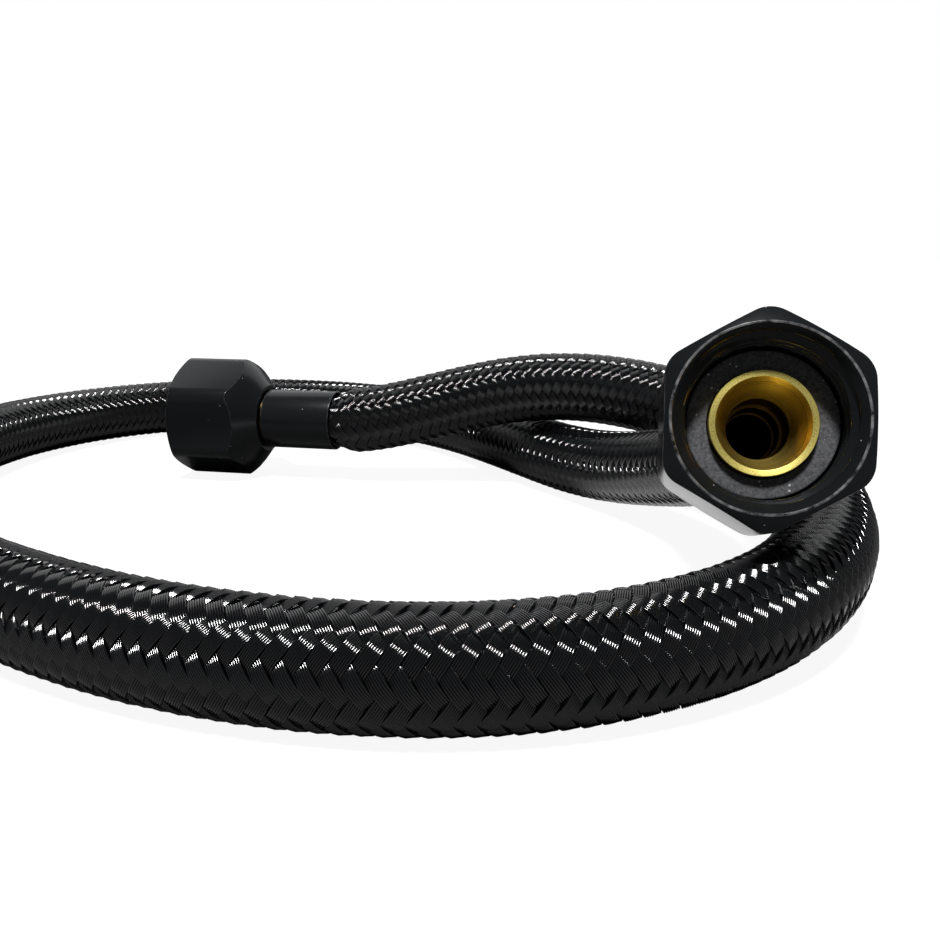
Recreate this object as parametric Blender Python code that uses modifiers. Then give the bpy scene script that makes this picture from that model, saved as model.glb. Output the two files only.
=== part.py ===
"""Braided supply line: a flexible water connector with the same swivel fitting on both ends.

Each end has a brass core, a rubber washer round its spigot, a union nut that spins on its neck, and a ferrule
crimped over the hose. The hose is an inner tube inside a braided jacket. The line lies on a flat surface, in one
loose loop that crosses itself, and its near nut rests on the loop.

Units are metres, +Z is up, and lengths below are written as millimetres times MM. The origin is on the surface,
under the middle of the box of the end fittings.
"""

import math

import bmesh
import bpy
import numpy as np
from mathutils import Matrix, Vector

MM = 0.001

# --- union nut for a G1/2 thread; depths are measured back from the nut's front face ---
NUT_ACROSS_FLATS = 24.0 * MM
NUT_CORNER_RADIUS = 3.4 * MM
NUT_RIM_RADIUS = 11.35 * MM
NUT_FRONT_CHAMFER = 1.4 * MM
NUT_HEIGHT = 20.0 * MM
NUT_SHOULDER = 14.0 * MM
# The shoulder's rounded cone, as (share of the way out from the rear radius to the corners, share of its length).
NUT_SHOULDER_CURVE = ((1.0, 0.0), (0.80, 0.27), (0.55, 0.52), (0.28, 0.75), (0.08, 0.92))
NUT_REAR_RADIUS = 7.5 * MM
NUT_BACK_WALL = 3.5 * MM
NUT_HOLE_RADIUS = 6.1 * MM
THREAD_MINOR_RADIUS = 9.4 * MM
NUT_ENTRY_RADIUS = 11.1 * MM
NUT_ENTRY_DEPTH = 1.9 * MM

# --- sealing washer ---
WASHER_FACE = 6.1 * MM
WASHER_THICKNESS = 3.0 * MM
WASHER_OUTER_RADIUS = 9.15 * MM
WASHER_INNER_RADIUS = 6.65 * MM
WASHER_EDGE = 0.3 * MM

# --- brass core: spigot, collar, neck and hose tail ---
SPIGOT_RIM = 4.9 * MM
SPIGOT_OUTER_RADIUS = 6.46 * MM
SPIGOT_MOUTH_RADIUS = 5.7 * MM
SPIGOT_BORE_RADIUS = 3.87 * MM
SPIGOT_CONE_END = 10.8 * MM
SPIGOT_BORE_END = 16.0 * MM
COLLAR_FRONT = 9.4 * MM
COLLAR_THICKNESS = 2.5 * MM
COLLAR_RADIUS = 9.0 * MM
NECK_RADIUS = 5.8 * MM
GROOVE_RADIUS = 4.0 * MM
TAIL_RADIUS = 4.0 * MM
TAIL_BORE_RADIUS = 3.2 * MM
TAIL_BARB_DROP = 0.35 * MM
TAIL_BARB_PITCH = 3.2 * MM
TAIL_BARBS = 4

# --- crimp ferrule ---
FERRULE_FRONT = 20.4 * MM
FERRULE_LENGTH = 16.0 * MM
FERRULE_LIP = 1.3 * MM
FERRULE_LIP_RADIUS = 4.3 * MM
FERRULE_OUTER_RADIUS = 6.6 * MM
FERRULE_INNER_RADIUS = 6.2 * MM
FERRULE_EDGE = 0.35 * MM

# --- hose, in two layers; the ferrules squeeze both ends ---
HOSE_RADIUS = 7.25 * MM
JACKET_INNER_RADIUS = 6.75 * MM
TUBE_OUTER_RADIUS = 6.4 * MM
TUBE_BORE_RADIUS = 4.3 * MM
SQUEEZED_HOSE_RADIUS = 5.9 * MM
SQUEEZED_JACKET_INNER_RADIUS = 5.4 * MM
SQUEEZED_TUBE_OUTER_RADIUS = 5.1 * MM
HOSE_POINT_SPACING = 14.0 * MM
CLEARANCE = 0.3 * MM

# --- where the line lies; the layout's own zero is shifted to the origin described above. Both nuts are turned to
# have a corner straight down, and the far one stands on it. ---
LAYOUT_SHIFT = Vector((9.606, -176.506, 0.0)) * MM
NEAR_FRONT = Vector((34.5, 113.6, 32.2)) * MM
NEAR_HEADING = math.radians(-98.7)
NEAR_ELEVATION = math.radians(17.1)
NEAR_NUT_TURN = math.radians(30.0)
FAR_FRONT = Vector((-65.5, 231.5, 13.281)) * MM
FAR_HEADING = math.radians(167.3)
FAR_ELEVATION = 0.0
FAR_NUT_TURN = math.radians(30.0)

# Route of the hose's centre line between the two ferrules, in layout millimetres: back from the near ferrule,
# once round to the left and across the front, up the right side, over itself, and into the far ferrule.
ROUTE = (
    (40.5, 160.0, 17.8),
    (39.0, 172.0, 14.0),
    (35.0, 184.0, 10.9),
    (29.5, 196.0, 8.5),
    (22.5, 208.0, 7.4),
    (15.0, 221.5, 7.3),
    (5.5, 239.5, 7.3),
    (-6.0, 257.5, 7.3),
    (-22.0, 273.5, 7.3),
    (-42.0, 285.0, 7.3),
    (-64.0, 288.5, 7.3),
    (-85.5, 282.5, 7.3),
    (-102.0, 268.0, 7.3),
    (-112.0, 248.0, 7.3),
    (-115.0, 225.0, 7.3),
    (-111.5, 200.0, 7.3),
    (-102.0, 175.0, 7.3),
    (-89.0, 152.5, 7.3),
    (-73.0, 133.0, 7.3),
    (-55.0, 118.0, 7.3),
    (-39.0, 108.5, 7.3),
    (-22.0, 102.2, 7.3),
    (-5.0, 99.8, 7.3),
    (12.0, 102.0, 7.4),
    (27.0, 108.5, 7.8),
    (40.0, 119.5, 8.5),
    (49.0, 133.5, 9.5),
    (54.5, 149.5, 11.2),
    (55.7, 166.0, 13.7),
    (51.8, 182.8, 17.0),
    (42.8, 197.5, 20.2),
    (29.5, 208.5, 22.2),
    (14.0, 216.0, 21.8),
    (-2.0, 220.0, 18.6),
    (-17.0, 221.6, 14.9),
)

TURN_SEGMENTS = 36
HEX_SIDES = 6


def clear_scene():
    for obj in list(bpy.data.objects):
        bpy.data.objects.remove(obj, do_unlink=True)


def collection(name):
    made = bpy.data.collections.new(name)
    bpy.context.scene.collection.children.link(made)
    return made


def material(name, colour, roughness, metallic):
    made = bpy.data.materials.new(name)
    made.use_nodes = True
    shader = made.node_tree.nodes["Principled BSDF"]
    shader.inputs["Base Color"].default_value = (*colour, 1.0)
    shader.inputs["Roughness"].default_value = roughness
    shader.inputs["Metallic"].default_value = metallic
    made.diffuse_color = (*colour, 1.0)
    return made


def turned(name, profile, where, segments=TURN_SEGMENTS):
    """A ring turned about Z from a closed profile of (radius, depth) points, running down its outer side."""
    mesh = bpy.data.meshes.new(name)
    count = len(profile)
    edges = [(i, (i + 1) % count) for i in range(count)]
    mesh.from_pydata([(radius, 0.0, -depth) for radius, depth in profile], edges, [])
    obj = bpy.data.objects.new(name, mesh)
    where.objects.link(obj)
    screw = obj.modifiers.new("turn", "SCREW")
    screw.axis = "Z"
    screw.steps = segments
    screw.render_steps = segments
    screw.use_merge_vertices = True
    screw.merge_threshold = 0.01 * MM
    return obj


def as_mesh(obj, where):
    """Replaces an object by a mesh object of its evaluated shape, with loose caps and seams welded."""
    graph = bpy.context.evaluated_depsgraph_get()
    mesh = bpy.data.meshes.new_from_object(obj.evaluated_get(graph))
    work = bmesh.new()
    work.from_mesh(mesh)
    bmesh.ops.remove_doubles(work, verts=work.verts, dist=0.001 * MM)
    bmesh.ops.recalc_face_normals(work, faces=work.faces)
    work.to_mesh(mesh)
    work.free()
    name = obj.name
    made = bpy.data.objects.new(name, mesh)
    made.matrix_world = obj.matrix_world
    where.objects.link(made)
    bpy.data.objects.remove(obj, do_unlink=True)
    made.name = name
    return made


def cut_with(obj, tool, operation):
    tool.hide_render = True
    tool.display_type = "WIRE"
    boolean = obj.modifiers.new(operation.lower(), "BOOLEAN")
    boolean.operation = operation
    boolean.object = tool


def shade(obj, shader):
    obj.data.materials.clear()
    obj.data.materials.append(shader)
    obj.data.shade_smooth()
    obj.data.set_sharp_from_angle(angle=math.radians(30.0))


def end_frame(name, front, heading, elevation, parts):
    """An empty at a nut's front face, whose +Z points out of the mouth."""
    frame = bpy.data.objects.new(name, None)
    frame.empty_display_size = 10.0 * MM
    frame.location = front + LAYOUT_SHIFT
    frame.rotation_euler = (0.0, math.pi / 2 - elevation, heading)
    parts.objects.link(frame)
    return frame


def nut_profile():
    """Outer form of the nut down to its rear, then up its bore. The hexagon is cut from it afterwards."""
    corner = NUT_ACROSS_FLATS / 2 / math.cos(math.pi / HEX_SIDES)
    shoulder = [
        (NUT_REAR_RADIUS + (corner - NUT_REAR_RADIUS) * out, NUT_SHOULDER + (NUT_HEIGHT - NUT_SHOULDER) * along)
        for out, along in NUT_SHOULDER_CURVE
    ]
    outer = [(NUT_RIM_RADIUS, 0.0), (corner, NUT_FRONT_CHAMFER)]
    rear = [(NUT_REAR_RADIUS, NUT_HEIGHT), (NUT_HOLE_RADIUS, NUT_HEIGHT)]
    inner_shoulder = NUT_HEIGHT - NUT_BACK_WALL
    bore = [
        (NUT_HOLE_RADIUS, inner_shoulder),
        (THREAD_MINOR_RADIUS, inner_shoulder),
        (THREAD_MINOR_RADIUS, NUT_ENTRY_DEPTH),
        (NUT_ENTRY_RADIUS, 0.0),
    ]
    return outer + shoulder + rear + bore


def union_nut(name, frame, turn, parts, cutters, shader):
    nut = turned(name, nut_profile(), parts)
    mesh = bpy.data.meshes.new(f"{name}_hexagon")
    work = bmesh.new()
    corner = NUT_ACROSS_FLATS / 2 / math.cos(math.pi / HEX_SIDES)
    bmesh.ops.create_cone(
        work, cap_ends=True, segments=HEX_SIDES, radius1=corner, radius2=corner, depth=NUT_HEIGHT * 1.5
    )
    bmesh.ops.rotate(work, verts=work.verts, matrix=Matrix.Rotation(turn, 3, "Z"), cent=(0, 0, 0))
    bmesh.ops.translate(work, verts=work.verts, vec=(0, 0, -NUT_HEIGHT / 2))
    corners = [edge for edge in work.edges if abs(edge.verts[0].co.z - edge.verts[1].co.z) > NUT_HEIGHT]
    bmesh.ops.bevel(
        work, geom=corners, offset=NUT_CORNER_RADIUS * math.tan(math.pi / HEX_SIDES), segments=6, profile=0.5,
        affect="EDGES",
    )
    work.to_mesh(mesh)
    work.free()
    hexagon = bpy.data.objects.new(f"{name}_hexagon", mesh)
    cutters.objects.link(hexagon)
    hexagon.parent = frame
    nut.parent = frame
    cut_with(nut, hexagon, "INTERSECT")
    shade(nut, shader)
    return nut


def sealing_washer(name, frame, parts, shader):
    back = WASHER_FACE + WASHER_THICKNESS
    profile = [
        (WASHER_OUTER_RADIUS - WASHER_EDGE, WASHER_FACE),
        (WASHER_OUTER_RADIUS, WASHER_FACE + WASHER_EDGE),
        (WASHER_OUTER_RADIUS, back - WASHER_EDGE),
        (WASHER_OUTER_RADIUS - WASHER_EDGE, back),
        (WASHER_INNER_RADIUS, back),
        (WASHER_INNER_RADIUS, WASHER_FACE),
    ]
    washer = turned(name, profile, parts)
    washer.parent = frame
    shade(washer, shader)
    return washer


def brass_core(name, frame, parts, shader):
    collar_back = COLLAR_FRONT + COLLAR_THICKNESS
    groove_end = FERRULE_FRONT + FERRULE_LIP + CLEARANCE
    profile = [
        (SPIGOT_OUTER_RADIUS, SPIGOT_RIM),
        (SPIGOT_OUTER_RADIUS, COLLAR_FRONT),
        (COLLAR_RADIUS, COLLAR_FRONT),
        (COLLAR_RADIUS, collar_back),
        (NECK_RADIUS, collar_back),
        (NECK_RADIUS, FERRULE_FRONT - CLEARANCE),
        (GROOVE_RADIUS, FERRULE_FRONT - CLEARANCE),
        (GROOVE_RADIUS, groove_end),
    ]
    for barb in range(TAIL_BARBS):
        start = groove_end + barb * TAIL_BARB_PITCH
        if barb:
            profile.append((TAIL_RADIUS, start))
        profile.append((TAIL_RADIUS - TAIL_BARB_DROP, start + TAIL_BARB_PITCH * (0.9 if barb else 0.5)))
    tail_end = groove_end + TAIL_BARBS * TAIL_BARB_PITCH
    profile += [
        (TAIL_BORE_RADIUS, tail_end),
        (TAIL_BORE_RADIUS, SPIGOT_BORE_END),
        (SPIGOT_BORE_RADIUS, SPIGOT_BORE_END),
        (SPIGOT_BORE_RADIUS, SPIGOT_CONE_END),
        (SPIGOT_MOUTH_RADIUS, SPIGOT_RIM),
    ]
    core = turned(name, profile, parts)
    core.parent = frame
    shade(core, shader)
    return core


def crimp_ferrule(name, frame, parts, shader):
    back = FERRULE_FRONT + FERRULE_LENGTH
    profile = [
        (FERRULE_OUTER_RADIUS - FERRULE_EDGE, FERRULE_FRONT),
        (FERRULE_OUTER_RADIUS, FERRULE_FRONT + FERRULE_EDGE),
        (FERRULE_OUTER_RADIUS, back),
        (FERRULE_INNER_RADIUS, back),
        (FERRULE_INNER_RADIUS, FERRULE_FRONT + FERRULE_LIP),
        (FERRULE_LIP_RADIUS, FERRULE_FRONT + FERRULE_LIP),
        (FERRULE_LIP_RADIUS, FERRULE_FRONT),
    ]
    ferrule = turned(name, profile, parts)
    ferrule.parent = frame
    shade(ferrule, shader)
    return ferrule


def mouth_direction(heading, elevation):
    level = math.cos(elevation)
    return Vector((level * math.cos(heading), level * math.sin(heading), math.sin(elevation)))


def smooth_curve(points, start_direction, end_direction, steps):
    """Points on the cubic spline through the given points, with continuous curvature and the given end directions."""
    points = np.array(points, float)
    gaps = np.linalg.norm(np.diff(points, axis=0), axis=1)
    count = len(points)
    system = np.eye(count)
    right = np.zeros_like(points)
    right[0], right[-1] = start_direction, end_direction
    for i in range(1, count - 1):
        before, after = gaps[i - 1], gaps[i]
        system[i, i - 1 : i + 2] = 1 / before, 2 * (1 / before + 1 / after), 1 / after
        right[i] = 3 * ((points[i] - points[i - 1]) / before**2 + (points[i + 1] - points[i]) / after**2)
    slopes = np.linalg.solve(system, right)
    t = np.linspace(0, 1, steps, endpoint=False)[:, None]
    runs = []
    for i, gap in enumerate(gaps):
        runs.append(
            (2 * t**3 - 3 * t**2 + 1) * points[i]
            + (t**3 - 2 * t**2 + t) * gap * slopes[i]
            + (3 * t**2 - 2 * t**3) * points[i + 1]
            + (t**3 - t**2) * gap * slopes[i + 1]
        )
    runs.append(points[-1:])
    return np.vstack(runs)


def hose_centre_line():
    """Evenly spaced points between the two ferrules' open ends, and the direction of the hose at each end."""
    near_mouth = mouth_direction(NEAR_HEADING, NEAR_ELEVATION)
    far_mouth = mouth_direction(FAR_HEADING, FAR_ELEVATION)
    reach = FERRULE_FRONT + FERRULE_LENGTH
    start = NEAR_FRONT + LAYOUT_SHIFT - near_mouth * reach
    end = FAR_FRONT + LAYOUT_SHIFT - far_mouth * reach
    route = [start, *(Vector(point) * MM + LAYOUT_SHIFT for point in ROUTE), end]
    fine = smooth_curve(route, -near_mouth, far_mouth, 24)
    travelled = np.concatenate([[0.0], np.cumsum(np.linalg.norm(np.diff(fine, axis=0), axis=1))])
    places = np.linspace(0.0, travelled[-1], round(travelled[-1] / HOSE_POINT_SPACING) + 1)
    even = np.stack([np.interp(places, travelled, fine[:, axis]) for axis in range(3)], axis=1)
    return [Vector(point) for point in even], near_mouth, far_mouth


def hose_run(squeezed, full):
    """The centre line with each end inside its ferrule, as (point, radius): squeezed there and full outside."""
    line, near_mouth, far_mouth = hose_centre_line()
    inside = FERRULE_LENGTH - FERRULE_LIP - CLEARANCE
    swell = 4.0 * MM
    run = [(line[0] + near_mouth * inside, squeezed), (line[0] + near_mouth * CLEARANCE, squeezed)]
    run.append((line[0] - near_mouth * swell, full))
    run += [(point, full) for point in line[1:-1]]
    run.append((line[-1] - far_mouth * swell, full))
    run += [(line[-1] + far_mouth * CLEARANCE, squeezed), (line[-1] + far_mouth * inside, squeezed)]
    return run


def tube(name, run, where, stretch=0.0):
    """A capped tube along (point, radius) pairs, as a mesh, run on past both ends by the given stretch."""
    points = [point for point, _ in run]
    radii = [radius for _, radius in run]
    points[0] = points[0] + (points[0] - points[1]).normalized() * stretch
    points[-1] = points[-1] + (points[-1] - points[-2]).normalized() * stretch
    curve = bpy.data.curves.new(name, "CURVE")
    curve.dimensions = "3D"
    curve.bevel_depth = max(radii)
    curve.bevel_resolution = 4
    curve.use_fill_caps = True
    spline = curve.splines.new("POLY")
    spline.points.add(len(points) - 1)
    for place, point, radius in zip(spline.points, points, radii):
        place.co = (*point, 1.0)
        place.radius = radius / max(radii)
    obj = bpy.data.objects.new(name, curve)
    where.objects.link(obj)
    return as_mesh(obj, where)


def hose_layer(name, outer, inner, parts, cutters, shader):
    """One layer of the hose: an outer tube with its lumen cut out. Each of outer and inner is (squeezed, full)."""
    layer = tube(name, hose_run(*outer), parts)
    lumen = tube(f"{name}_lumen", hose_run(*inner), cutters, stretch=2.0 * MM)
    cut_with(layer, lumen, "DIFFERENCE")
    shade(layer, shader)
    return layer


def fitting(side, front, heading, elevation, nut_turn, parts, cutters, shaders):
    frame = end_frame(f"{side}_end", front, heading, elevation, parts)
    union_nut(f"{side}_union_nut", frame, nut_turn, parts, cutters, shaders["nut"])
    sealing_washer(f"{side}_sealing_washer", frame, parts, shaders["washer"])
    brass_core(f"{side}_brass_core", frame, parts, shaders["brass"])
    crimp_ferrule(f"{side}_crimp_ferrule", frame, parts, shaders["nut"])


def main():
    clear_scene()
    parts = collection("braided_supply_line")
    cutters = collection("cutters")
    shaders = {
        "nut": material("black_coated_metal", (0.012, 0.013, 0.015), 0.38, 0.6),
        "washer": material("grey_rubber", (0.05, 0.05, 0.055), 0.85, 0.0),
        "brass": material("brass", (0.80, 0.56, 0.14), 0.25, 1.0),
        "tube": material("black_rubber", (0.02, 0.02, 0.02), 0.7, 0.0),
        "braid": material("black_braid", (0.01, 0.01, 0.013), 0.35, 0.0),
    }
    fitting("near", NEAR_FRONT, NEAR_HEADING, NEAR_ELEVATION, NEAR_NUT_TURN, parts, cutters, shaders)
    fitting("far", FAR_FRONT, FAR_HEADING, FAR_ELEVATION, FAR_NUT_TURN, parts, cutters, shaders)
    hose_layer(
        "braided_jacket",
        (SQUEEZED_HOSE_RADIUS, HOSE_RADIUS),
        (SQUEEZED_JACKET_INNER_RADIUS, JACKET_INNER_RADIUS),
        parts,
        cutters,
        shaders["braid"],
    )
    hose_layer(
        "inner_tube",
        (SQUEEZED_TUBE_OUTER_RADIUS, TUBE_OUTER_RADIUS),
        (TUBE_BORE_RADIUS, TUBE_BORE_RADIUS),
        parts,
        cutters,
        shaders["tube"],
    )


main()
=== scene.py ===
"""Looks of the braided supply line: woven jacket, inner tube, detailed end fittings and a plain studio.

Everything is in the part's own frame, in metres. Lengths below are written as millimetres times MM.
Depths are measured back from a nut's front face along the fitting's axis.
"""

import math

import bpy
import numpy as np
from mathutils import Matrix, Vector

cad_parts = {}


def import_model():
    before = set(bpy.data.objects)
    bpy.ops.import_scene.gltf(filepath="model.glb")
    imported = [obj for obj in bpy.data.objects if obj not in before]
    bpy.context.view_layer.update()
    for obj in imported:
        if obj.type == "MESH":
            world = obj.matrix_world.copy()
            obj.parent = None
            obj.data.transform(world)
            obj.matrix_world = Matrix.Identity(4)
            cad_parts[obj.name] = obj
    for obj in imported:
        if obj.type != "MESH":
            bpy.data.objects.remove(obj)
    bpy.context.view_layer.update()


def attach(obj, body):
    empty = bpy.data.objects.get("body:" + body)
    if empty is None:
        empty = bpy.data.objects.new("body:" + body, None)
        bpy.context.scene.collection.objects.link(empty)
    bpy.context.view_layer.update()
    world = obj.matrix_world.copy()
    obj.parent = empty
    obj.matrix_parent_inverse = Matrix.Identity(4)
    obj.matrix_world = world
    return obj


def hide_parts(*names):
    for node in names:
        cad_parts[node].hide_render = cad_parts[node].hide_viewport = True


MM = 0.001

# --- where the two ends lie, and the hose's route between them (as in the part's source) ---
LAYOUT_SHIFT = Vector((9.606, -176.506, 0.0)) * MM
NEAR_FRONT = Vector((34.5, 113.6, 32.2)) * MM + LAYOUT_SHIFT
NEAR_HEADING = math.radians(-98.7)
NEAR_ELEVATION = math.radians(17.1)
FAR_FRONT = Vector((-65.5, 231.5, 13.281)) * MM + LAYOUT_SHIFT
FAR_HEADING = math.radians(167.3)
FAR_ELEVATION = 0.0
ROUTE = (
    (40.5, 160.0, 17.8),
    (39.0, 172.0, 14.0),
    (35.0, 184.0, 10.9),
    (29.5, 196.0, 8.5),
    (22.5, 208.0, 7.4),
    (15.0, 221.5, 7.3),
    (5.5, 239.5, 7.3),
    (-6.0, 257.5, 7.3),
    (-22.0, 273.5, 7.3),
    (-42.0, 285.0, 7.3),
    (-64.0, 288.5, 7.3),
    (-85.5, 282.5, 7.3),
    (-102.0, 268.0, 7.3),
    (-112.0, 248.0, 7.3),
    (-115.0, 225.0, 7.3),
    (-111.5, 200.0, 7.3),
    (-102.0, 175.0, 7.3),
    (-89.0, 152.5, 7.3),
    (-73.0, 133.0, 7.3),
    (-55.0, 118.0, 7.3),
    (-39.0, 108.5, 7.3),
    (-22.0, 102.2, 7.3),
    (-5.0, 99.8, 7.3),
    (12.0, 102.0, 7.4),
    (27.0, 108.5, 7.8),
    (40.0, 119.5, 8.5),
    (49.0, 133.5, 9.5),
    (54.5, 149.5, 11.2),
    (55.7, 166.0, 13.7),
    (51.8, 182.8, 17.0),
    (42.8, 197.5, 20.2),
    (29.5, 208.5, 22.2),
    (14.0, 216.0, 21.8),
    (-2.0, 220.0, 18.6),
    (-17.0, 221.6, 14.9),
)
SPLINE_STEPS = 48
INSIDE_STEPS = 8

# --- fitting sizes, those of the part's source with the G1/2 thread added ---
NUT_APOTHEM = 12.0 * MM
NUT_CORNER_RADIUS = 3.4 * MM
NUT_RIM_RADIUS = 11.35 * MM
NUT_FRONT_CHAMFER = 1.4 * MM
NUT_HEIGHT = 20.0 * MM
NUT_SHOULDER = 14.0 * MM
NUT_SHOULDER_CURVE = ((1.0, 0.0), (0.80, 0.27), (0.55, 0.52), (0.28, 0.75), (0.08, 0.92), (0.0, 1.0))
NUT_REAR_RADIUS = 7.5 * MM
NUT_BACK_WALL = 3.5 * MM
NUT_HOLE_RADIUS = 6.1 * MM
NUT_ENTRY_RADIUS = 11.1 * MM
NUT_ENTRY_DEPTH = 1.9 * MM
THREAD_MAJOR_RADIUS = 10.48 * MM
THREAD_MINOR_RADIUS = 9.40 * MM
THREAD_PITCH = 1.814 * MM
THREAD_ROWS_PER_PITCH = 14
THREAD_FLAT_SHARE = 0.115
THREAD_RUNOUT = 0.3 * MM
THREAD_LIP = 0.15 * MM
HEX_SIDES = 6
NUT_COLUMNS = 288
NUT_SHOULDER_SAMPLES = 25
NUT_SHOULDER_ROWS = 7
TURNED_COLUMNS = 144
ARC_STEPS = 4
FILLET_MOST_SHARE = 0.45
NUT_SHARP_ANGLE = math.radians(50.0)
TURNED_SHARP_ANGLE = math.radians(38.0)
FERRULE_FRONT = 20.4 * MM
FERRULE_LENGTH = 16.0 * MM

# Closed (radius, depth, fillet, wear) profiles of turned pieces, in mm. Wear goes from 0, as new, to 1.
WASHER_PROFILE = (
    (9.15, 6.10, 0.30, 0.0),
    (9.15, 9.10, 0.30, 0.0),
    (6.65, 9.10, 0.15, 0.0),
    (6.65, 6.10, 0.15, 0.0),
)
CORE_PROFILE = (
    (6.46, 4.90, 0.10, 1.0),
    (6.46, 9.40, 0.15, 0.0),
    (9.00, 9.40, 0.15, 0.0),
    (9.00, 11.90, 0.20, 0.0),
    (5.80, 11.90, 0.30, 0.0),
    (5.80, 20.10, 0.10, 0.0),
    (4.00, 20.10, 0.10, 0.0),
    (4.00, 22.00, 0.0, 0.0),
    (3.65, 23.60, 0.0, 0.0),
    (4.00, 25.20, 0.0, 0.0),
    (3.65, 28.08, 0.0, 0.0),
    (4.00, 28.40, 0.0, 0.0),
    (3.65, 31.28, 0.0, 0.0),
    (4.00, 31.60, 0.0, 0.0),
    (3.65, 34.48, 0.0, 0.0),
    (3.20, 34.80, 0.10, 0.0),
    (3.20, 20.60, 0.10, 0.0),
    (3.45, 20.60, 0.10, 0.0),
    (3.45, 16.00, 0.10, 0.0),
    (3.87, 16.00, 0.10, 0.0),
    (3.87, 10.80, 0.12, 0.3),
    (5.70, 4.90, 0.06, 1.0),
)
FERRULE_PROFILE = (
    (6.60, 20.40, 0.40, 0.6),
    (6.60, 36.40, 0.18, 0.6),
    (6.20, 36.40, 0.12, 0.4),
    (6.20, 21.70, 0.10, 0.0),
    (4.30, 21.70, 0.10, 0.0),
    (4.30, 20.40, 0.10, 0.0),
)

# --- camera ---
CAMERA_HEIGHT = 51.0 * MM
CAMERA_PITCH = math.atan(0.22)
CAMERA_LENS = 38.3
CAMERA_SENSOR = 36.0

# --- floor, surround and lights; azimuth 0 is behind the camera and 90 to its right ---
FLOOR_HALF_SIZE = 4.0
FLOOR_DROP = 0.05 * MM
FLOOR_ALBEDO = 0.14
FLOOR_GLOW = 0.92
# Painted light: a round patch of floor here glows to every ray, a pool of light with no lamp.
FLOOR_GLOW_SPOT_PLACE = Vector((38.0, 160.0, 0.0)) * MM + LAYOUT_SHIFT
FLOOR_GLOW_SPOT_INNER = 34.0 * MM
FLOOR_GLOW_SPOT_OUTER = 44.0 * MM
SURROUND_COLOUR = (0.9, 0.95, 1.0)
SURROUND_STRENGTH = 0.10
SUN_AZIMUTH = math.radians(-12.0)
SUN_ELEVATION = math.radians(67.0)
SUN_STRENGTH = 4.0
SUN_WIDTH = math.radians(11.0)
BACK_LIGHT_PLACE = (0.0, 0.8, 0.65)
BACK_LIGHT_TARGET = (0.0, -0.02, 0.0)
BACK_LIGHT_SIZE = (1.6, 0.9)
BACK_LIGHT_RADIANCE = 0.8

# --- braid: bands of filaments wound both ways, each over two and under two ---
BRAID_LEAD = 27.2 * MM
BRAID_CROSSINGS = 24
BRAID_REPEAT = 4
BRAID_SEED = 11
BRAID_TURN = math.radians(8.0)
BRAID_MIDDLE_RADIUS = 6.72 * MM
BRAID_WAVE = 0.40 * MM
FILAMENTS = 7
FILAMENT_COLUMNS = 3
FILAMENT_HEIGHT = 0.12 * MM
FILAMENT_TOP_SHARE = 0.60
BAND_HALF_WIDTH = 0.485
BAND_SKIRT_WIDTH = 0.012
BAND_SKIRT_DROP = 0.22 * MM
FLOAT_HALF_LENGTH = 1.35
FLOAT_STEPS = 6
END_SQUEEZE = 0.80
END_SWELL = 5.0 * MM
END_INSIDE = 4.0 * MM
BRAID_JITTER = 0.012
BRAID_LIFT = 0.012 * MM

# --- inner tube ---
TUBE_RADIUS = 6.2 * MM
TUBE_BORE_RADIUS = 4.3 * MM
TUBE_SIDES = 28
TUBE_SPACING = 2.0 * MM
TUBE_SHARP_ANGLE = math.radians(60.0)

# --- materials: linear colours, and the Z range over which one zone of a fitting fades into the next ---
COATING_BLACK = (0.0080, 0.0092, 0.0102)
COATING_RUBBED = (0.21, 0.21, 0.215)
COATING_SPECK = (0.35, 0.35, 0.35)
COATING_RIM_FADE = (-0.06 * MM, -0.02 * MM)
WASHER_DARK = (0.036, 0.037, 0.041)
WASHER_PALE = (0.125, 0.125, 0.131)
WASHER_SPECK = (0.60, 0.60, 0.60)
BRASS_RIM_PIT = (0.66, 0.49, 0.09)
BRASS_RIM = (1.0, 0.87, 0.28)
BRASS_RIM_FADE = (-5.00 * MM, -4.93 * MM)
# Painted shade: the brass walls turn this dark deeper in the bore, standing in for the shade there.
BRASS_BORE_PAINTED_SHADE = (0.12, 0.072, 0.016)
BRASS_CONE = (0.84, 0.62, 0.15)
BRASS_BORE_SHADE_FADE = (-11.2 * MM, -10.6 * MM)
NYLON_BLUISH = (0.0010, 0.0012, 0.0020)
NYLON_NEUTRAL = (0.0014, 0.0014, 0.0016)
TUBE_BLACK = (0.0035, 0.0035, 0.0035)
TUBE_DUSTED = (0.006, 0.006, 0.006)


def mouth_direction(heading, elevation):
    """The direction straight out of a nut's mouth."""
    level = math.cos(elevation)
    return Vector((level * math.cos(heading), level * math.sin(heading), math.sin(elevation)))


def end_matrix(front, heading, elevation):
    """The frame of one end: origin at the nut's front face, +Z out of the mouth, +X pointing down."""
    turn = Matrix.Rotation(heading, 4, "Z") @ Matrix.Rotation(math.pi / 2 - elevation, 4, "Y")
    return Matrix.Translation(front) @ turn


NEAR_MOUTH = mouth_direction(NEAR_HEADING, NEAR_ELEVATION)
FAR_MOUTH = mouth_direction(FAR_HEADING, FAR_ELEVATION)
HOSE_START = NEAR_FRONT - NEAR_MOUTH * (FERRULE_FRONT + FERRULE_LENGTH)
HOSE_END = FAR_FRONT - FAR_MOUTH * (FERRULE_FRONT + FERRULE_LENGTH)
ENDS = {
    "near": end_matrix(NEAR_FRONT, NEAR_HEADING, NEAR_ELEVATION),
    "far": end_matrix(FAR_FRONT, FAR_HEADING, FAR_ELEVATION),
}


# ---------------------------------------------------------------- meshes


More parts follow.
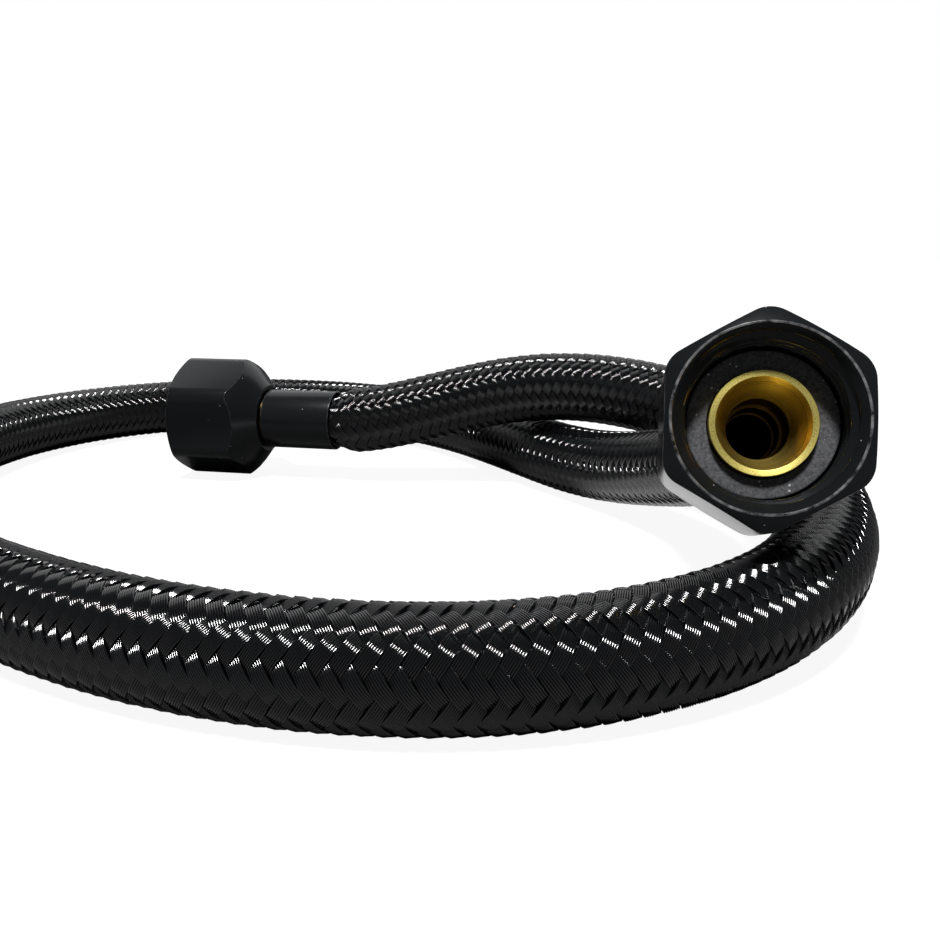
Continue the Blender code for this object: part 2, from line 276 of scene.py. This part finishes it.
def mesh_object(name, points, faces, sharp_angle=None):
    """A smooth-shaded mesh of four-sided faces, with edges sharper than the angle kept crisp."""
    mesh = bpy.data.meshes.new(name)
    points = np.asarray(points, np.float32).reshape(-1, 3)
    faces = np.asarray(faces, np.int32).reshape(-1, 4)
    mesh.vertices.add(len(points))
    mesh.vertices.foreach_set("co", points.ravel())
    mesh.loops.add(faces.size)
    mesh.loops.foreach_set("vertex_index", faces.ravel())
    mesh.polygons.add(len(faces))
    mesh.polygons.foreach_set("loop_start", np.arange(0, faces.size, 4, dtype=np.int32))
    mesh.update(calc_edges=True)
    mesh.validate()
    mesh.shade_smooth()
    if sharp_angle is not None:
        mesh.set_sharp_from_angle(angle=sharp_angle)
    obj = bpy.data.objects.new(name, mesh)
    bpy.context.scene.collection.objects.link(obj)
    return obj


def ring_grid(name, loops, matrix, sharp_angle):
    """A closed skin from an array of closed profiles, one per angle round Z: shape (angles, points, 3).

    The mesh carries each point's place in the fitting's own frame, which the materials read.
    """
    loops = np.asarray(loops, float)
    around, along = loops.shape[:2]
    index = np.arange(around * along).reshape(around, along)
    right = np.roll(index, -1, axis=0)
    quads = np.stack([index, right, np.roll(right, -1, axis=1), np.roll(index, -1, axis=1)], axis=-1)
    points = loops.reshape(-1, 3)
    quads = quads.reshape(-1, 4)
    a, b, c, d = (points[quads[:, k]] for k in range(4))
    volume = (np.einsum("ij,ij->i", a, np.cross(b, c)) + np.einsum("ij,ij->i", a, np.cross(c, d))).sum()
    if volume < 0:
        quads = quads[:, ::-1]
    obj = mesh_object(name, points, quads, sharp_angle)
    place = obj.data.attributes.new("place", "FLOAT_VECTOR", "POINT")
    place.data.foreach_set("vector", points.astype(np.float32).ravel())
    obj.matrix_world = matrix
    return obj


def filleted(profile):
    """Rows of (radius, depth, wear) from a closed (radius, depth, fillet, wear) profile, corners rounded.

    Wear is strongest in the middle of a rounded corner and none at its two ends.
    """
    made = []
    count = len(profile)
    for i, (radius, depth, fillet, wear) in enumerate(profile):
        corner = np.array((radius, depth))
        if fillet <= 0.0:
            made.append((radius, depth, wear))
            continue
        before = np.array(profile[i - 1][:2]) - corner
        after = np.array(profile[(i + 1) % count][:2]) - corner
        before_length, after_length = np.linalg.norm(before), np.linalg.norm(after)
        before, after = before / before_length, after / after_length
        opening = math.acos(max(-1.0, min(1.0, float(before @ after))))
        most = FILLET_MOST_SHARE * min(before_length, after_length)
        reach = min(fillet / math.tan(opening / 2), most)
        start, end = corner + before * reach, corner + after * reach
        for step in range(ARC_STEPS + 1):
            t = step / ARC_STEPS
            place = (1 - t) ** 2 * start + 2 * t * (1 - t) * corner + t**2 * end
            made.append((place[0], place[1], wear * (1 - abs(2 * t - 1))))
    return made


def add_wear_attribute(obj, values):
    wear = obj.data.attributes.new("wear", "FLOAT", "POINT")
    wear.data.foreach_set("value", values.astype(np.float32))


def turned(name, profile, matrix):
    """A ring turned from a closed (radius, depth, fillet, wear) profile in millimetres."""
    rows = np.array(filleted(profile))
    angles = np.linspace(0, 2 * np.pi, TURNED_COLUMNS, endpoint=False)
    radius, depth = rows[:, 0] * MM, rows[:, 1] * MM
    loops = np.stack(
        [
            np.outer(np.cos(angles), radius),
            np.outer(np.sin(angles), radius),
            np.broadcast_to(-depth, (TURNED_COLUMNS, len(rows))),
        ],
        axis=-1,
    )
    obj = ring_grid(name, loops, matrix, TURNED_SHARP_ANGLE)
    add_wear_attribute(obj, np.tile(rows[:, 2], TURNED_COLUMNS))
    return obj


def hexagon_radius(angle):
    """Distance from the axis to a rounded hexagon's side, with a corner on angle 0."""
    sector = 2 * math.pi / HEX_SIDES
    from_flat = (angle % sector) - sector / 2
    flat = NUT_APOTHEM / math.cos(from_flat)
    centre = (NUT_APOTHEM - NUT_CORNER_RADIUS) / math.cos(sector / 2)
    from_corner = sector / 2 - abs(from_flat)
    tangent_at = math.atan2(centre * math.sin(sector / 2), NUT_APOTHEM)
    if abs(from_flat) < tangent_at:
        return flat
    along = centre * math.cos(from_corner)
    return along + math.sqrt(NUT_CORNER_RADIUS**2 - (centre * math.sin(from_corner)) ** 2)


def nut_shoulder(side, widest):
    """The depth where the rounded shoulder leaves a side at this radius, and the rows from there on."""
    curve = np.array(NUT_SHOULDER_CURVE)
    fine = np.linspace(0.0, 1.0, NUT_SHOULDER_SAMPLES)
    radius = NUT_REAR_RADIUS + (widest - NUT_REAR_RADIUS) * np.interp(fine, curve[:, 1], curve[:, 0])
    depth = NUT_SHOULDER + (NUT_HEIGHT - NUT_SHOULDER) * fine
    start = float(np.interp(-side, -radius, fine))
    places = start + (1.0 - start) * np.linspace(0.0, 1.0, NUT_SHOULDER_ROWS + 2)[1:-1]
    rows = [(float(np.interp(t, fine, radius)), float(np.interp(t, fine, depth)), 0.0, 0.0) for t in places]
    return float(np.interp(start, fine, depth)), rows


def nut_column(angle):
    """The nut's closed profile at one angle, as rows of (radius, depth, wear) in metres."""
    side = hexagon_radius(angle)
    widest = NUT_APOTHEM / math.cos(math.pi / HEX_SIDES)
    chamfer_end = NUT_FRONT_CHAMFER * (side - NUT_RIM_RADIUS) / (widest - NUT_RIM_RADIUS)
    shoulder_start, shoulder = nut_shoulder(side, widest)
    inner = NUT_HEIGHT - NUT_BACK_WALL
    outline = [
        (NUT_RIM_RADIUS, 0.0, 0.10 * MM, 1.0),
        (side, chamfer_end, 0.22 * MM, 0.35),
        (side, shoulder_start, 0.30 * MM, 0.25),
        *shoulder,
        (NUT_REAR_RADIUS, NUT_HEIGHT, 0.20 * MM, 0.3),
        (NUT_HOLE_RADIUS, NUT_HEIGHT, 0.15 * MM, 0.0),
        (NUT_HOLE_RADIUS, inner, 0.15 * MM, 0.0),
        (THREAD_MAJOR_RADIUS, inner, 0.10 * MM, 0.0),
    ]
    closing = (NUT_ENTRY_RADIUS, 0.0, 0.06 * MM, 1.0)
    rounded = filleted([*outline, closing])
    lip_start = len(rounded) - (ARC_STEPS + 1)
    thread = thread_rows(angle, inner - THREAD_RUNOUT)
    return rounded[:lip_start] + thread + rounded[lip_start:]


def thread_rows(angle, deepest):
    """The bore from its deep end to the mouth: a helical thread that runs out into the entry bevel."""
    count = round(deepest / THREAD_PITCH * THREAD_ROWS_PER_PITCH)
    depths = np.linspace(deepest, THREAD_LIP, count)
    phase = depths / THREAD_PITCH + angle / (2 * math.pi)
    wave = np.abs((phase % 1.0) * 2 - 1)
    wave = np.clip((wave - THREAD_FLAT_SHARE) / (1 - 2 * THREAD_FLAT_SHARE), 0.0, 1.0)
    thread = THREAD_MINOR_RADIUS + (THREAD_MAJOR_RADIUS - THREAD_MINOR_RADIUS) * wave
    bevel = NUT_ENTRY_RADIUS - (NUT_ENTRY_RADIUS - THREAD_MINOR_RADIUS) * depths / NUT_ENTRY_DEPTH
    return [(max(a, b), depth, 0.0) for a, b, depth in zip(thread, bevel, depths)]


def union_nut(name, matrix):
    """A nut with one corner straight down."""
    angles = np.linspace(0, 2 * np.pi, NUT_COLUMNS, endpoint=False)
    rows = np.array([nut_column(angle) for angle in angles])
    loops = np.stack(
        [
            rows[..., 0] * np.cos(angles)[:, None],
            rows[..., 0] * np.sin(angles)[:, None],
            -rows[..., 1],
        ],
        axis=-1,
    )
    obj = ring_grid(name, loops, matrix, NUT_SHARP_ANGLE)
    add_wear_attribute(obj, rows[..., 2].ravel())
    return obj


# ---------------------------------------------------------------- hose


def smooth_curve(points, start_direction, end_direction, steps):
    """Points on the smooth cubic spline through the given points, with the given directions at its ends."""
    points = np.array(points, float)
    gaps = np.linalg.norm(np.diff(points, axis=0), axis=1)
    count = len(points)
    system = np.eye(count)
    right = np.zeros_like(points)
    right[0], right[-1] = start_direction, end_direction
    for i in range(1, count - 1):
        before, after = gaps[i - 1], gaps[i]
        system[i, i - 1 : i + 2] = 1 / before, 2 * (1 / before + 1 / after), 1 / after
        right[i] = 3 * ((points[i] - points[i - 1]) / before**2 + (points[i + 1] - points[i]) / after**2)
    slopes = np.linalg.solve(system, right)
    t = np.linspace(0, 1, steps, endpoint=False)[:, None]
    runs = []
    for i, gap in enumerate(gaps):
        runs.append(
            (2 * t**3 - 3 * t**2 + 1) * points[i]
            + (t**3 - 2 * t**2 + t) * gap * slopes[i]
            + (3 * t**2 - 2 * t**3) * points[i + 1]
            + (t**3 - t**2) * gap * slopes[i + 1]
        )
    runs.append(points[-1:])
    return np.vstack(runs)


class HoseLine:
    """The hose's centre line, run on straight into both ferrules, with an untwisted frame along it."""

    def __init__(self):
        route = [HOSE_START, *(Vector(point) * MM + LAYOUT_SHIFT for point in ROUTE), HOSE_END]
        middle = smooth_curve(route, -NEAR_MOUTH, FAR_MOUTH, SPLINE_STEPS)
        inside = np.linspace(END_INSIDE, 0, INSIDE_STEPS, endpoint=False)[:, None]
        before = np.array(HOSE_START) + inside * np.array(NEAR_MOUTH)
        after = (np.array(HOSE_END) + inside * np.array(FAR_MOUTH))[::-1]
        self.points = np.vstack([before, middle, after])
        steps = np.linalg.norm(np.diff(self.points, axis=0), axis=1)
        self.travelled = np.concatenate([[0.0], np.cumsum(steps)])
        self.length = self.travelled[-1]
        tangents = np.gradient(self.points, axis=0)
        self.tangents = tangents / np.linalg.norm(tangents, axis=1)[:, None]
        self.sides = self._untwisted()
        self.ups = np.cross(self.tangents, self.sides)

    def _untwisted(self):
        side = np.cross(self.tangents[0], (0.0, 0.0, 1.0))
        sides = []
        for tangent in self.tangents:
            side = side - tangent * (side @ tangent)
            side = side / np.linalg.norm(side)
            sides.append(side)
        return np.array(sides)

    def _at(self, values, along):
        return np.stack([np.interp(along, self.travelled, values[:, axis]) for axis in range(3)], axis=-1)

    def place(self, along, angle, radius):
        """World points at the given distances along, angles round and radii out from the line."""
        side = self._at(self.sides, along)
        up = self._at(self.ups, along)
        out = side * np.cos(angle)[..., None] + up * np.sin(angle)[..., None]
        return self._at(self.points, along) + out * radius[..., None]

    def squeeze(self, along):
        """How much of its full radius the hose has: less inside the ferrules and just outside them."""
        from_end = np.minimum(along, self.length - along) - END_INSIDE
        share = np.clip(from_end / END_SWELL, 0.0, 1.0)
        return END_SQUEEZE + (1 - END_SQUEEZE) * share * share * (3 - 2 * share)


def band_profile():
    """Across one band: places in crossings and heights of its filaments' tops, grooves and two skirts."""
    edge = BAND_HALF_WIDTH
    pitch = 2 * edge / FILAMENTS
    shoulder = (1 - FILAMENT_TOP_SHARE) / 2 * pitch
    places, heights = [-edge - BAND_SKIRT_WIDTH], [-BAND_SKIRT_DROP]
    for k in range(FILAMENTS):
        left = -edge + k * pitch
        places += [left, left + shoulder, left + pitch - shoulder]
        heights += [0.0, FILAMENT_HEIGHT, FILAMENT_HEIGHT]
    places += [edge, edge + BAND_SKIRT_WIDTH]
    heights += [0.0, -BAND_SKIRT_DROP]
    return np.array(places), np.array(heights)


def float_places(line):
    """Distance along, angle round and radius out of each point of each visible float, as three arrays."""
    rng = np.random.default_rng(BRAID_SEED)
    crossing = BRAID_LEAD / BRAID_CROSSINGS
    sector = 2 * math.pi / BRAID_CROSSINGS
    across, heights = band_profile()
    down = np.linspace(-FLOAT_HALF_LENGTH, FLOAT_HALF_LENGTH, FLOAT_STEPS + 1)
    # Places on one float, in crossings: x across its band and y along it.
    y, x = np.meshgrid(down, across, indexing="ij")
    rise = BRAID_WAVE * np.cos(math.pi / 2 * y) + heights[None, :]
    reach = (FLOAT_HALF_LENGTH + BAND_HALF_WIDTH + BAND_SKIRT_WIDTH) * crossing
    first = math.ceil(reach / (2 * crossing)) + 1
    last = math.floor((line.length - reach) / (2 * crossing)) - 1
    floats = []
    # The right-hand bands come first, then the left-hand ones, half a repeat further round.
    for sign, shift in ((1.0, 0.5), (-1.0, 2.5)):
        for row in range(BRAID_CROSSINGS // BRAID_REPEAT):
            centre_angle = BRAID_TURN + sector * (shift + BRAID_REPEAT * row)
            for n in range(first, last + 1):
                centre = 2 * crossing * (n - 0.25 * sign)
                skew = rng.normal(0.0, BRAID_JITTER, 2)
                lift = rng.normal(0.0, BRAID_LIFT)
                along = centre + crossing * (x + y + skew[0])
                angle = centre_angle + sign * sector * (x - y + skew[1])
                radius = (BRAID_MIDDLE_RADIUS + rise + lift) * line.squeeze(along)
                floats.append((along, angle, radius))
    return [np.stack([place[k] for place in floats]) for k in range(3)]


def crease_grooves(obj, rows, cols):
    """Makes the grooves between filaments sharp, in a mesh of floats that each hold rows by cols points."""
    edges = np.empty(len(obj.data.edges) * 2, np.int32)
    obj.data.edges.foreach_get("vertices", edges)
    col = (edges.reshape(-1, 2) % (rows * cols)) % cols
    groove = (col[:, 0] == col[:, 1]) & (col[:, 0] % FILAMENT_COLUMNS == 1)
    sharp = obj.data.attributes.new("sharp_edge", "BOOLEAN", "EDGE")
    sharp.data.foreach_set("value", groove)


def woven_jacket(line):
    """Every visible float of the braid: a patch of filaments that dives under its neighbours at each end."""
    along, angle, radius = float_places(line)
    count, rows, cols = along.shape
    cell = np.arange(rows * cols).reshape(rows, cols)
    quad = np.stack([cell[:-1, :-1], cell[1:, :-1], cell[1:, 1:], cell[:-1, 1:]], axis=-1).reshape(-1, 4)
    faces = quad[None] + (np.arange(count) * rows * cols)[:, None, None]
    left_hand = count // 2
    faces[left_hand:] = faces[left_hand:, :, ::-1]
    obj = mesh_object("braided_jacket_weave", line.place(along, angle, radius), faces)
    crease_grooves(obj, rows, cols)
    return obj


def lining(line):
    """The inner tube: its outside is the dark ground between the bands, and its bore runs right through."""
    out = np.linspace(0.0, line.length, round(line.length / TUBE_SPACING) + 1)
    angles = np.linspace(0, 2 * np.pi, TUBE_SIDES, endpoint=False)
    along, angle = np.meshgrid(np.concatenate([out, out[::-1]]), angles, indexing="ij")
    radius = np.full_like(along, TUBE_BORE_RADIUS)
    radius[: len(out)] = TUBE_RADIUS * line.squeeze(along[: len(out)])
    points = line.place(along, angle, radius)
    index = np.arange(along.size).reshape(along.shape)
    right = np.roll(index, -1, axis=1)
    onward = np.roll(index, -1, axis=0)
    faces = np.stack([index, right, np.roll(right, -1, axis=0), onward], axis=-1)
    return mesh_object("inner_tube_lining", points, faces, TUBE_SHARP_ANGLE)


# ---------------------------------------------------------------- materials


def new_material(name):
    made = bpy.data.materials.new(name)
    made.use_nodes = True
    nodes = made.node_tree.nodes
    return made, nodes, made.node_tree.links, nodes["Principled BSDF"]


def add_noise(nodes, links, source, scale, detail=2.0, roughness=0.5):
    """A noise of the source's place, with scale features to the metre."""
    noise = nodes.new("ShaderNodeTexNoise")
    noise.inputs["Scale"].default_value = scale
    noise.inputs["Detail"].default_value = detail
    noise.inputs["Roughness"].default_value = roughness
    links.new(source, noise.inputs["Vector"])
    return noise.outputs["Fac"]


def add_range(nodes, links, source, low, high, to_low=0.0, to_high=1.0):
    """The source stretched from low and high to to_low and to_high, and clamped there."""
    scale = nodes.new("ShaderNodeMapRange")
    scale.inputs["From Min"].default_value = low
    scale.inputs["From Max"].default_value = high
    scale.inputs["To Min"].default_value = to_low
    scale.inputs["To Max"].default_value = to_high
    links.new(source, scale.inputs["Value"])
    return scale.outputs["Result"]


def add_math(nodes, links, operation, first, second):
    """The operation's result on two values; first and second are floats or sockets."""
    math_node = nodes.new("ShaderNodeMath")
    math_node.operation = operation
    for socket, value in zip(math_node.inputs, (first, second)):
        if isinstance(value, float):
            socket.default_value = value
        else:
            links.new(value, socket)
    return math_node.outputs[0]


def add_mix(nodes, links, factor, first, second):
    """A colour mix; first and second are colours or sockets."""
    mix = nodes.new("ShaderNodeMix")
    mix.data_type = "RGBA"
    links.new(factor, mix.inputs["Factor"])
    for socket, value in ((mix.inputs["A"], first), (mix.inputs["B"], second)):
        if isinstance(value, tuple):
            socket.default_value = (*value, 1.0)
        else:
            links.new(value, socket)
    return mix.outputs["Result"]


def add_bump(nodes, links, height, distance, strength):
    """A normal bent by the height, which stands for the distance at 1."""
    bump = nodes.new("ShaderNodeBump")
    bump.inputs["Distance"].default_value = distance
    bump.inputs["Strength"].default_value = strength
    links.new(height, bump.inputs["Height"])
    return bump.outputs["Normal"]


def add_specks(nodes, links, where, per_metre, radius, share):
    """Small round dots scattered over the given share of the cells; the radius is in cells."""
    cells = nodes.new("ShaderNodeTexVoronoi")
    cells.inputs["Scale"].default_value = per_metre
    links.new(where, cells.inputs["Vector"])
    chance = nodes.new("ShaderNodeSeparateColor")
    links.new(cells.outputs["Color"], chance.inputs["Color"])
    inside = add_math(nodes, links, "LESS_THAN", cells.outputs["Distance"], radius)
    chosen = add_math(nodes, links, "LESS_THAN", chance.outputs["Red"], share)
    return add_math(nodes, links, "MULTIPLY", inside, chosen)


def add_wear(nodes):
    """The wear that the mesh carries, from 0, as new, to 1."""
    worn = nodes.new("ShaderNodeAttribute")
    worn.attribute_name = "wear"
    return worn.outputs["Fac"]


def add_place(nodes):
    """The point in its fitting's own frame, carried by the mesh, so it holds wherever the mesh is put."""
    place = nodes.new("ShaderNodeAttribute")
    place.attribute_name = "place"
    return place.outputs["Vector"]


def add_depth(nodes, links, where):
    """The Z of a place, which is minus the depth behind the nut's front face."""
    split = nodes.new("ShaderNodeSeparateXYZ")
    links.new(where, split.inputs["Vector"])
    return split.outputs["Z"]


def add_rings(nodes, links, where, depth):
    """Fine rings round the fitting's axis: a noise of the distance from the axis and of the depth."""
    flat = nodes.new("ShaderNodeVectorMath")
    flat.operation = "MULTIPLY"
    flat.inputs[1].default_value = (1.0, 1.0, 0.0)
    links.new(where, flat.inputs[0])
    radius = nodes.new("ShaderNodeVectorMath")
    radius.operation = "LENGTH"
    links.new(flat.outputs["Vector"], radius.inputs[0])
    rings_at = nodes.new("ShaderNodeCombineXYZ")
    links.new(radius.outputs["Value"], rings_at.inputs["X"])
    links.new(depth, rings_at.inputs["Y"])
    return add_noise(nodes, links, rings_at.outputs["Vector"], 3600.0, 4.0, 0.6)


def black_coating():
    """Satin black coat on metal: finely grained, rubbed paler on rim and corners, with a few pale specks."""
    made, nodes, links, shader = new_material("black_coating")
    where = add_place(nodes)
    grain = add_noise(nodes, links, where, 5200.0, 3.0)
    patches = add_noise(nodes, links, where, 700.0, 4.0, 0.6)
    rim = add_range(nodes, links, add_depth(nodes, links, where), *COATING_RIM_FADE)
    edges = add_math(nodes, links, "MAXIMUM", add_wear(nodes), rim)
    rubbed = add_math(nodes, links, "MULTIPLY", edges, add_range(nodes, links, patches, 0.35, 0.65))
    colour = add_mix(nodes, links, rubbed, COATING_BLACK, COATING_RUBBED)
    specks = add_specks(nodes, links, where, 900.0, 0.085, 0.16)
    colour = add_mix(nodes, links, specks, colour, COATING_SPECK)
    links.new(colour, shader.inputs["Base Color"])
    links.new(add_range(nodes, links, patches, 0.3, 0.7, 0.20, 0.23), shader.inputs["Roughness"])
    links.new(add_bump(nodes, links, grain, 0.010 * MM, 0.2), shader.inputs["Normal"])
    shader.inputs["IOR"].default_value = 1.36
    return made


def washer_rubber():
    """Matt dark grey rubber with a fine sandy speckle and a few pale specks."""
    made, nodes, links, shader = new_material("washer_rubber")
    where = add_place(nodes)
    sand = add_noise(nodes, links, where, 3200.0, 3.0, 0.7)
    shade = add_range(nodes, links, sand, 0.35, 0.65)
    colour = add_mix(nodes, links, shade, WASHER_DARK, WASHER_PALE)
    specks = add_specks(nodes, links, where, 900.0, 0.12, 0.75)
    colour = add_mix(nodes, links, specks, colour, WASHER_SPECK)
    links.new(colour, shader.inputs["Base Color"])
    links.new(add_bump(nodes, links, sand, 0.04 * MM, 0.5), shader.inputs["Normal"])
    shader.inputs["Roughness"].default_value = 0.75
    return made


def turned_brass():
    """Turned brass: fine rings round the axis, a bright cone, a bore darkened with painted shade, and a
    pale, rough, pitted rim.
    """
    made, nodes, links, shader = new_material("turned_brass")
    where = add_place(nodes)
    depth = add_depth(nodes, links, where)
    rings = add_rings(nodes, links, where, depth)
    grit = add_noise(nodes, links, where, 6500.0, 3.0, 0.6)
    in_rim = add_range(nodes, links, depth, *BRASS_RIM_FADE)
    unpitted = add_range(nodes, links, grit, 0.35, 0.50)
    rim = add_mix(nodes, links, unpitted, BRASS_RIM_PIT, BRASS_RIM)
    # Painted shade: the walls fade from the cone's colour to the dark painted-shade colour deeper in the
    # bore.
    clear_of_bore_shade = add_range(nodes, links, depth, *BRASS_BORE_SHADE_FADE)
    walls_with_painted_shade = add_mix(nodes, links, clear_of_bore_shade, BRASS_BORE_PAINTED_SHADE, BRASS_CONE)
    links.new(add_mix(nodes, links, in_rim, walls_with_painted_shade, rim), shader.inputs["Base Color"])
    turned_roughness = add_range(nodes, links, rings, 0.3, 0.7, 0.24, 0.36)
    extra_roughness = add_math(nodes, links, "MULTIPLY", in_rim, 0.26)
    roughness = add_math(nodes, links, "ADD", turned_roughness, extra_roughness)
    links.new(roughness, shader.inputs["Roughness"])
    height = add_math(nodes, links, "ADD", rings, add_math(nodes, links, "MULTIPLY", grit, in_rim))
    links.new(add_bump(nodes, links, height, 0.012 * MM, 0.4), shader.inputs["Normal"])
    grain = nodes.new("ShaderNodeTangent")
    grain.direction_type = "RADIAL"
    grain.axis = "Z"
    links.new(grain.outputs["Tangent"], shader.inputs["Tangent"])
    shader.inputs["Anisotropic"].default_value = 0.6
    shader.inputs["Anisotropic Rotation"].default_value = 0.25
    shader.inputs["Metallic"].default_value = 1.0
    return made


def black_nylon():
    """Glossy black nylon, a little bluer in some places than in others, smoother or duller by turns."""
    made, nodes, links, shader = new_material("black_nylon")
    where = nodes.new("ShaderNodeTexCoord").outputs["Object"]
    batches = add_noise(nodes, links, where, 450.0, 2.0, 0.6)
    fine = add_noise(nodes, links, where, 3000.0, 2.0, 0.6)
    tint = add_range(nodes, links, batches, 0.35, 0.65)
    colour = add_mix(nodes, links, tint, NYLON_BLUISH, NYLON_NEUTRAL)
    links.new(colour, shader.inputs["Base Color"])
    links.new(add_range(nodes, links, fine, 0.3, 0.7, 0.08, 0.11), shader.inputs["Roughness"])
    shader.inputs["IOR"].default_value = 1.8
    return made


def tube_rubber():
    """Matt black rubber, dusted a little paler in patches."""
    made, nodes, links, shader = new_material("tube_rubber")
    where = nodes.new("ShaderNodeTexCoord").outputs["Object"]
    patches = add_range(nodes, links, add_noise(nodes, links, where, 900.0, 3.0, 0.6), 0.35, 0.65)
    colour = add_mix(nodes, links, patches, TUBE_BLACK, TUBE_DUSTED)
    links.new(colour, shader.inputs["Base Color"])
    links.new(add_range(nodes, links, patches, 0.0, 1.0, 0.74, 0.84), shader.inputs["Roughness"])
    return made


# ---------------------------------------------------------------- scene


def make_camera():
    data = bpy.data.cameras.new("camera")
    data.lens = CAMERA_LENS
    data.sensor_width = CAMERA_SENSOR
    data.clip_start = 1.0 * MM
    camera = bpy.data.objects.new("camera", data)
    camera.location = (LAYOUT_SHIFT.x, LAYOUT_SHIFT.y, CAMERA_HEIGHT)
    camera.rotation_euler = (math.pi / 2 - CAMERA_PITCH, 0.0, 0.0)
    bpy.context.scene.collection.objects.link(camera)
    bpy.context.scene.camera = camera


def make_floor():
    """A pale floor, white to the camera, that throws little light up but for a painted pool of light: a
    glowing spot behind the near nut.
    """
    size = FLOOR_HALF_SIZE
    square = [(-size, -size, 0), (size, -size, 0), (size, size, 0), (-size, size, 0)]
    mesh = bpy.data.meshes.new("floor")
    mesh.from_pydata(square, [], [(0, 1, 2, 3)])
    floor = bpy.data.objects.new("floor", mesh)
    bpy.context.scene.collection.objects.link(floor)
    floor.location.z = -FLOOR_DROP
    made, nodes, links, shader = new_material("pale_floor")
    shader.inputs["Base Color"].default_value = (FLOOR_ALBEDO, FLOOR_ALBEDO, FLOOR_ALBEDO, 1.0)
    shader.inputs["Roughness"].default_value = 0.8
    shader.inputs["Specular IOR Level"].default_value = 0.0
    shader.inputs["Emission Color"].default_value = (1.0, 1.0, 1.0, 1.0)
    seen = nodes.new("ShaderNodeLightPath").outputs["Is Camera Ray"]
    # Painted light: within the spot the floor glows to every ray, fading out between its inner and outer
    # radius.
    from_glow_spot = nodes.new("ShaderNodeVectorMath")
    from_glow_spot.operation = "DISTANCE"
    from_glow_spot.inputs[1].default_value = FLOOR_GLOW_SPOT_PLACE
    links.new(nodes.new("ShaderNodeTexCoord").outputs["Object"], from_glow_spot.inputs[0])
    glow_spot = add_range(nodes, links, from_glow_spot.outputs["Value"], FLOOR_GLOW_SPOT_OUTER, FLOOR_GLOW_SPOT_INNER)
    glow = add_math(nodes, links, "MULTIPLY", add_math(nodes, links, "MAXIMUM", seen, glow_spot), FLOOR_GLOW)
    links.new(glow, shader.inputs["Emission Strength"])
    mesh.materials.append(made)


def make_world():
    """A white backdrop for the camera and a dimmer, softer surround for everything it lights."""
    world = bpy.data.worlds.new("studio")
    world.use_nodes = True
    nodes, links = world.node_tree.nodes, world.node_tree.links
    nodes.clear()
    seen = nodes.new("ShaderNodeBackground")
    seen.inputs["Color"].default_value = (1.0, 1.0, 1.0, 1.0)
    lit = nodes.new("ShaderNodeBackground")
    lit.inputs["Color"].default_value = (*SURROUND_COLOUR, 1.0)
    lit.inputs["Strength"].default_value = SURROUND_STRENGTH
    path = nodes.new("ShaderNodeLightPath")
    mix = nodes.new("ShaderNodeMixShader")
    out = nodes.new("ShaderNodeOutputWorld")
    links.new(path.outputs["Is Camera Ray"], mix.inputs["Fac"])
    links.new(lit.outputs["Background"], mix.inputs[1])
    links.new(seen.outputs["Background"], mix.inputs[2])
    links.new(mix.outputs["Shader"], out.inputs["Surface"])
    bpy.context.scene.world = world


def point_light(light, direction):
    """Puts a lamp in the scene, shining along the direction."""
    light.rotation_euler = direction.to_track_quat("-Z", "Y").to_euler()
    bpy.context.scene.collection.objects.link(light)


def make_front_light():
    """A distant round lamp, high in front, which draws a short bright dash across each float."""
    data = bpy.data.lights.new("front_high", "SUN")
    data.energy = SUN_STRENGTH
    data.angle = SUN_WIDTH
    level = math.cos(SUN_ELEVATION)
    away = Vector((math.sin(SUN_AZIMUTH) * level, -math.cos(SUN_AZIMUTH) * level, math.sin(SUN_ELEVATION)))
    point_light(bpy.data.objects.new("front_high", data), -away)


def make_back_light():
    """A wide soft panel behind the object."""
    data = bpy.data.lights.new("back_soft", "AREA")
    data.shape = "RECTANGLE"
    data.size, data.size_y = BACK_LIGHT_SIZE
    data.energy = BACK_LIGHT_RADIANCE * math.pi * data.size * data.size_y
    light = bpy.data.objects.new("back_soft", data)
    light.location = BACK_LIGHT_PLACE
    point_light(light, Vector(BACK_LIGHT_TARGET) - Vector(BACK_LIGHT_PLACE))


def fit(piece, node, body, shader):
    """Puts a detailed piece in the place of a CAD node, riding on its body."""
    piece.data.materials.append(shader)
    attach(piece, body)
    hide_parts(node)


def add_fittings():
    coating, rubber, brass = black_coating(), washer_rubber(), turned_brass()
    for side, matrix in ENDS.items():
        nut = union_nut(f"{side}_nut_threaded", matrix)
        fit(nut, f"{side}_union_nut", f"{side}_nut", coating)
        washer = turned(f"{side}_washer_ring", WASHER_PROFILE, matrix)
        fit(washer, f"{side}_sealing_washer", f"{side}_washer", rubber)
        core = turned(f"{side}_core_turned", CORE_PROFILE, matrix)
        fit(core, f"{side}_brass_core", "hose", brass)
        ferrule = turned(f"{side}_ferrule_sleeve", FERRULE_PROFILE, matrix)
        fit(ferrule, f"{side}_crimp_ferrule", "hose", coating)


def main():
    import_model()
    bpy.context.scene.view_settings.view_transform = "Standard"
    make_camera()

    line = HoseLine()
    weave = woven_jacket(line)
    tube = lining(line)
    fit(weave, "braided_jacket", "hose", black_nylon())
    fit(tube, "inner_tube", "hose", tube_rubber())
    add_fittings()

    make_floor()
    make_world()
    make_front_light()
    make_back_light()


main()
